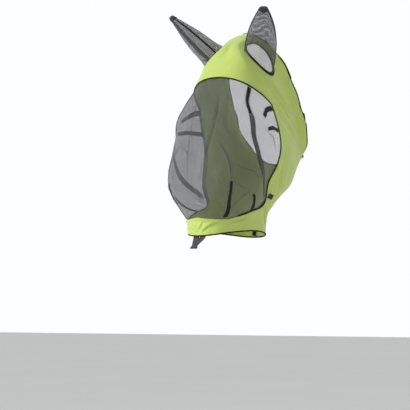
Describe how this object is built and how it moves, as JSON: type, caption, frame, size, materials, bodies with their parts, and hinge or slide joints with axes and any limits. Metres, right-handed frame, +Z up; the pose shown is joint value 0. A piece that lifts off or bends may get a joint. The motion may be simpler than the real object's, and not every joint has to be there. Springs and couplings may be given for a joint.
{
  "type": "horse fly mask",
  "caption": "Pull-on stretch fly mask for a full-size horse: lime fabric hood, domed and darted black mesh face, mesh ear sleeves and a webbing nose loop.",
  "frame": {"origin": "on the poll, midway between the ears, where the mask sits on top of the head", "axes": "+Z up the head towards the sky, the horse faces -Y, the horse's left side is +X"},
  "size_m": [0.2648, 0.4176, 0.5459],
  "materials": {
    "stretch_fabric": "satin",
    "fine_mesh": "satin",
    "seam_fabric": "matte",
    "binding": "matte",
    "webbing": "satin",
    "label": "matte"
  },
  "bodies": {
    "hood": {"hood_shell": "stretch_fabric", "jaw_seam_tape": "binding", "centre_face_mesh": "fine_mesh", "left_eye_mesh": "fine_mesh", "right_eye_mesh": "fine_mesh", "left_face_seam": "seam_fabric", "right_face_seam": "seam_fabric", "left_brow_dart": "seam_fabric", "left_temple_dart": "seam_fabric", "left_cheek_dart": "seam_fabric", "left_lower_dart": "seam_fabric", "left_nose_dart": "seam_fabric", "right_brow_dart": "seam_fabric", "right_temple_dart": "seam_fabric", "right_cheek_dart": "seam_fabric", "right_lower_dart": "seam_fabric", "right_nose_dart": "seam_fabric", "opening_binding": "binding", "neck_binding": "binding", "nose_binding": "binding", "left_ear_base_band": "binding", "right_ear_base_band": "binding", "webbing_loop_ends": "webbing"},
    "left_ear": {"left_ear_front_mesh": "fine_mesh", "left_ear_back_mesh": "fine_mesh", "left_ear_edge_binding": "binding", "left_ear_tip_cap": "seam_fabric"},
    "right_ear": {"right_ear_front_mesh": "fine_mesh", "right_ear_back_mesh": "fine_mesh", "right_ear_edge_binding": "binding", "right_ear_tip_cap": "seam_fabric"},
    "label": {"side_label": "label"},
    "loop": {"webbing_loop": "webbing"}
  },
  "joints": [
    {"name": "left_ear_tilt", "type": "hinge", "parent": "hood", "child": "left_ear", "pos_m": [0.0663, -0.0087, -0.0426], "axis": [-0.7969, -0.6005, -0.0663], "range_deg": [-15, 25], "stiffness_Nm_per_rad": 0.3},
    {"name": "right_ear_tilt", "type": "hinge", "parent": "hood", "child": "right_ear", "pos_m": [-0.0663, -0.0087, -0.0426], "axis": [-0.7969, 0.6005, 0.0663], "range_deg": [-15, 25], "stiffness_Nm_per_rad": 0.3},
    {"name": "label_flip", "type": "hinge", "parent": "hood", "child": "label", "pos_m": [0.0837, -0.0075, -0.3788], "axis": [-0.2287, 0.1616, -0.96], "range_deg": [-35, 50], "stiffness_Nm_per_rad": 0.0005},
    {"name": "loop_swing", "type": "hinge", "parent": "hood", "child": "loop", "pos_m": [-0.0022, -0.1644, -0.4787], "axis": [-1, 0, 0], "range_deg": [-35, 35], "stiffness_Nm_per_rad": 0.005}
  ]
}
